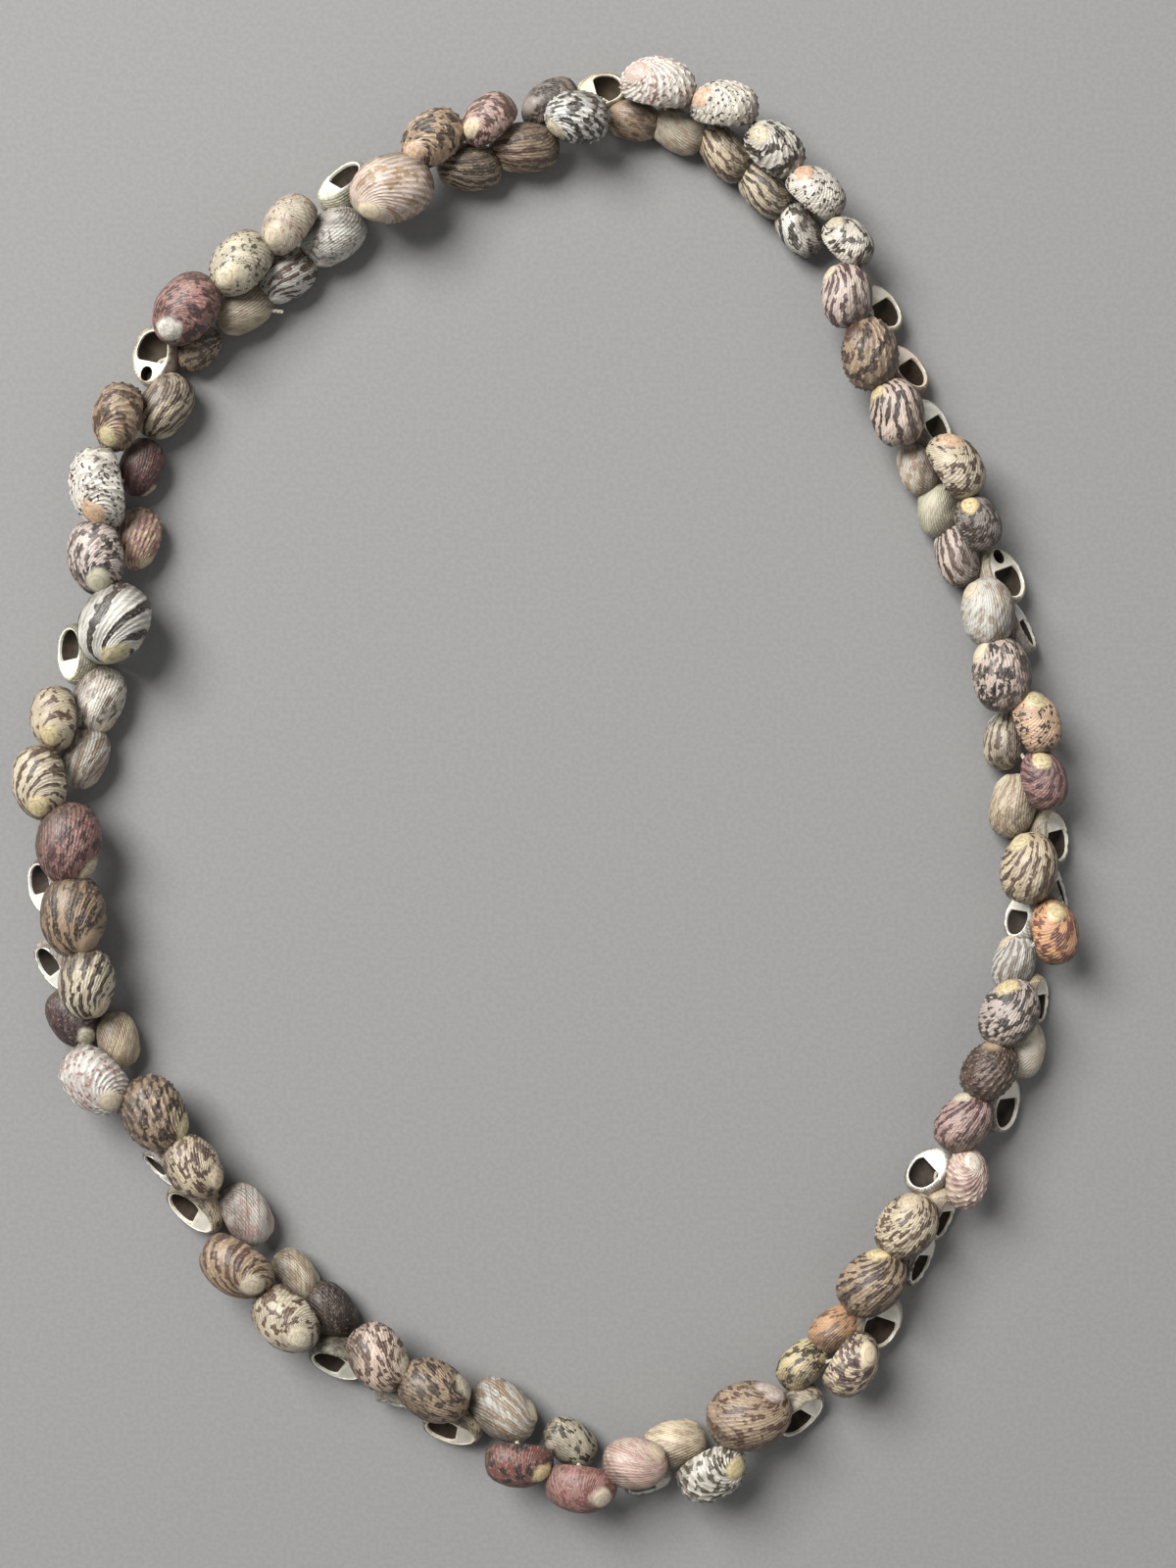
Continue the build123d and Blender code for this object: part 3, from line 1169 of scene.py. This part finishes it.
@dataclass(frozen=True)
class MouthFinish:
    """The pearly lip and deck of a shell's mouth; with dark tints, the painted shade deep inside it and
    in its hole.
    """

    pearl: Colour = (0.80, 0.78, 0.72, 1.0)
    shade: Colour = (0.60, 0.55, 0.44, 1.0)
    own_share: float = 0.35
    coat: float = 0.4
    coat_roughness: float = 0.15
    cloud_scale: float = 350.0
    grain_scale: float = 1400.0
    bump: float = 0.25
    bump_depth: float = 0.0002

    def material(self, name: str) -> bpy.types.Material:
        """Makes the material.

        Args:
            name: What it is called.

        Returns:
            The material.
        """
        material, desk, shader = start_material(name)
        place = desk.place()
        cloud = desk.noise(place, self.cloud_scale)
        clouded = desk.mix(desk.step(cloud, 0.35, 0.7), self.pearl, self.shade)
        bump = desk.add(
            "ShaderNodeBump", None, Strength=self.bump, Distance=self.bump_depth,
            Height=desk.noise(place, self.grain_scale),
        )
        desk.feed(
            shader, Base_Color=desk.mix(self.own_share, clouded, desk.attribute("ground")),
            Roughness=desk.step(cloud, 0.3, 0.7, (0.6 - self.coat, 0.76 - self.coat)),
            Normal=bump.outputs[0], Specular_IOR_Level=0.1 + self.coat, Coat_Weight=self.coat,
            Coat_Roughness=self.coat_roughness,
        )
        return material


@dataclass(frozen=True)
class ThreadFinish:
    """The pale twisted thread."""

    fibre: Colour = (0.62, 0.57, 0.47, 1.0)
    # Darker colour for the twist's grooves: painted shade, with some grime
    groove_shade_and_grime: Colour = (0.34, 0.29, 0.22, 1.0)
    lay: tuple[float, float, float] = (0.0, 0.6, 0.7)
    plies: float = 420.0
    bump: float = 0.6
    bump_depth: float = 0.0002
    sheen: float = 0.3

    def material(self) -> bpy.types.Material:
        """Makes the material."""
        material, desk, shader = start_material("twisted_thread")
        turned = desk.add("ShaderNodeMapping", None, Vector=desk.place(), Rotation=self.lay)
        ply = desk.add(
            "ShaderNodeTexWave", {"wave_profile": "SIN"}, Vector=turned.outputs[0],
            Scale=self.plies, Distortion=1.2, Detail=2.0,
        ).outputs["Fac"]
        bump = desk.add(
            "ShaderNodeBump", None, Strength=self.bump, Distance=self.bump_depth, Height=ply
        )
        # The ply grooves take the darker colour as painted shade, with some grime
        desk.feed(
            shader, Base_Color=desk.mix(ply, self.groove_shade_and_grime, self.fibre), Normal=bump.outputs[0],
            Roughness=desk.step(ply, 0.0, 1.0, (0.95, 0.75)), Sheen_Weight=self.sheen,
        )
        return material


@dataclass
class ShellRows:
    """All the shells of the string, in pieces by row and marking."""

    string: ShellString
    yaw: float = 11.0
    pitch: float = 8.0
    roll: float = 16.0
    seed: int = 7
    light_range: Point = (0.84, 1.06)
    warm_range: Point = (-0.04, 0.06)
    own_range: Point = (0, 60)
    mouth: MouthFinish = MouthFinish()
    # Dark tints: painted shade deep in the mouth's cavity and in the drilled hole
    inside: MouthFinish = MouthFinish(
        (0.042, 0.028, 0.019, 1.0), (0.018, 0.012, 0.009, 1.0), own_share=0.03, coat=0.0
    )

    def build(self) -> list[bpy.types.Object]:
        """Models the shells, puts each in its place and joins them by row and marking.

        Returns:
            The pieces.
        """
        models: dict[tuple, bpy.types.Object] = {}
        effects = ShellEffects()
        outsides = {kind: ShellFinish(kind).material(effects) for kind in Finish}
        mouth = self.mouth.material("shell_mouth")
        inside = self.inside.material("shell_inside")
        chance = random.Random(self.seed)
        piles: dict[tuple[int, Finish], list[bpy.types.Object]] = {}
        for shell in self.string.shells:
            sway = Euler([
                math.radians(chance.uniform(-most, most))
                for most in (self.roll, self.pitch, self.yaw)
            ])
            key = (shell.look.relief, shell.lie is Lie.LIP_OUT, shell.lie.shows_hole)
            if key not in models:
                models[key] = ShellModel(*key).build("model_" + key[0].name)
            mesh = models[key].data.copy()
            mesh.transform(self.string.place_of(shell, sway))
            lowest = min(vertex.co.z for vertex in mesh.vertices)
            mesh.transform(Matrix.Translation((0, 0, max(-lowest, 0.0))))
            self.dye(mesh, shell, chance)
            mesh.materials[OUTSIDE] = outsides[shell.look.finish]
            mesh.materials[MOUTH] = mouth
            mesh.materials[SHADED_INSIDE] = inside
            placed = bpy.data.objects.new("shell", mesh)
            bpy.context.scene.collection.objects.link(placed)
            piles.setdefault((shell.side, shell.look.finish), []).append(placed)
        for model in models.values():
            bpy.data.objects.remove(model)
        return [self.join(key, pile) for key, pile in piles.items()]

    def dye(self, mesh: bpy.types.Mesh, shell: StrungShell, chance: random.Random) -> None:
        """Writes a shell's own tints, its ribs and a number of its own on its mesh.

        Args:
            mesh: The placed mesh.
            shell: The shell.
            chance: The seeded source of the small differences between shells.
        """
        count = len(mesh.vertices)
        for name in ("ground", "mark", "spire"):
            light = chance.uniform(*self.light_range)
            warm = chance.uniform(*self.warm_range)
            red, green, blue, _ = tint(getattr(shell.look, name))
            own = [red * light * (1 + warm), green * light, blue * light * (1 - warm), 1.0]
            mesh.attributes.new(name, "FLOAT_COLOR", "POINT").data.foreach_set("color", own * count)
        own_number = chance.uniform(*self.own_range)
        for name, value in (("own", own_number), ("ribs", shell.look.relief.ribs)):
            mesh.attributes.new(name, "FLOAT", "POINT").data.foreach_set("value", [value] * count)

    @staticmethod
    def join(key: tuple[int, Finish], pile: list[bpy.types.Object]) -> bpy.types.Object:
        """Joins the shells of one row and one marking.

        Args:
            key: The row's side and the marking.
            pile: The shells.

        Returns:
            The piece.
        """
        side, finish = key
        row = "outer" if side == 1 else "inner"
        Bench.clear()
        for shell in pile:
            shell.select_set(True)
        bpy.context.view_layer.objects.active = pile[0]
        if len(pile) > 1:
            bpy.ops.object.join()
        piece = pile[0]
        piece.name = f"{row}_{finish.label}_shells"
        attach(piece, "root")
        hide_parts(row + "_shells")
        triangles = sum(len(face.vertices) - 2 for face in piece.data.polygons)
        log.info("%s: %d shells, %d triangles", piece.name, len(pile), triangles)
        return piece


@dataclass(frozen=True)
class Lamp:
    """A square light that points at the middle of the loop."""

    name: str
    place: tuple[float, float, float]
    size: float
    power: float


@dataclass
class Studio:
    """The floor, the light and the camera."""

    camera_height: float = 0.62
    sensor_height: float = 36.0
    floor_size: float = 4.0
    floor_colour: Colour = (0.245, 0.241, 0.233, 1.0)
    floor_grain: float = 900.0
    grain_depth: float = 0.92
    lamps: tuple[Lamp, ...] = (
        Lamp("window", (-1.0, 1.0, 1.67), 1.25, 91.0), Lamp("fill", (0.9, -0.5, 1.2), 1.6, 4.0)
    )
    room_colour: Colour = (0.93, 0.96, 1.0, 1.0)
    room_light: float = 0.2

    def build(self) -> None:
        """Sets up the floor, the lights and the camera."""
        self.lay_floor()
        self.hang_lights()
        self.set_camera()

    def lay_floor(self) -> None:
        """Lays a plain pale floor with a faint grain."""
        Bench.clear()
        bpy.ops.mesh.primitive_plane_add(size=self.floor_size, location=(0, 0, 0))
        floor = bpy.context.object
        floor.name = "floor"
        material, desk, shader = start_material("floor")
        grain = desk.noise(desk.place(), self.floor_grain, 4.0)
        darker = tuple(part * self.grain_depth for part in self.floor_colour[:3]) + (1.0,)
        colour = desk.mix(desk.step(grain, 0.35, 0.65), darker, self.floor_colour)
        desk.feed(shader, Base_Color=colour, Roughness=0.9)
        floor.data.materials.append(material)

    def hang_lights(self) -> None:
        """Hangs a large soft light to the upper left and a weak fill, in a faintly lit room."""
        for lamp in self.lamps:
            light = bpy.data.lights.new(lamp.name, "AREA")
            light.size = lamp.size
            light.energy = lamp.power
            hung = bpy.data.objects.new(lamp.name, light)
            hung.location = lamp.place
            hung.rotation_euler = (-Vector(lamp.place)).to_track_quat("-Z", "Y").to_euler()
            bpy.context.scene.collection.objects.link(hung)
        room = bpy.data.worlds.new("room")
        room.use_nodes = True
        background = room.node_tree.nodes["Background"]
        NodeDesk(room.node_tree).feed(background, in_0=self.room_colour, in_1=self.room_light)
        bpy.context.scene.world = room
        bpy.context.scene.view_settings.view_transform = "Standard"

    def set_camera(self) -> None:
        """Sets the camera straight above, where the photograph was taken from."""
        data = bpy.data.cameras.new("camera")
        data.sensor_fit = "VERTICAL"
        data.sensor_height = self.sensor_height
        frame_height = PHOTO_HEIGHT * METRES_PER_PIXEL
        data.lens = self.sensor_height * self.camera_height / frame_height
        camera = bpy.data.objects.new("camera", data)
        camera.location = (
            (PHOTO_WIDTH / 2 - LOOP_MIDDLE_PX[0]) * METRES_PER_PIXEL,
            (LOOP_MIDDLE_PX[1] - PHOTO_HEIGHT / 2) * METRES_PER_PIXEL,
            self.camera_height,
        )
        bpy.context.scene.collection.objects.link(camera)
        bpy.context.scene.camera = camera


def main() -> None:
    """Builds the studio, the shells and the thread in turn, and reports each piece."""
    Studio().build()
    string = ShellString()
    string.string_up(STRING_CHART, looks_of(LOOK_CHART))
    string.lay_out()
    log.info("%d shells on %.1f mm of string", len(string.shells), string.length)
    ShellRows(string).build()
    thread = ThreadFinish().material()
    for name in ("thread", "knot"):
        node = frame["nodes"][name]
        node.data.materials.clear()
        node.data.materials.append(thread)
        log.info("%s: dressed as thread", name)


if __name__ == "__main__":
    main()
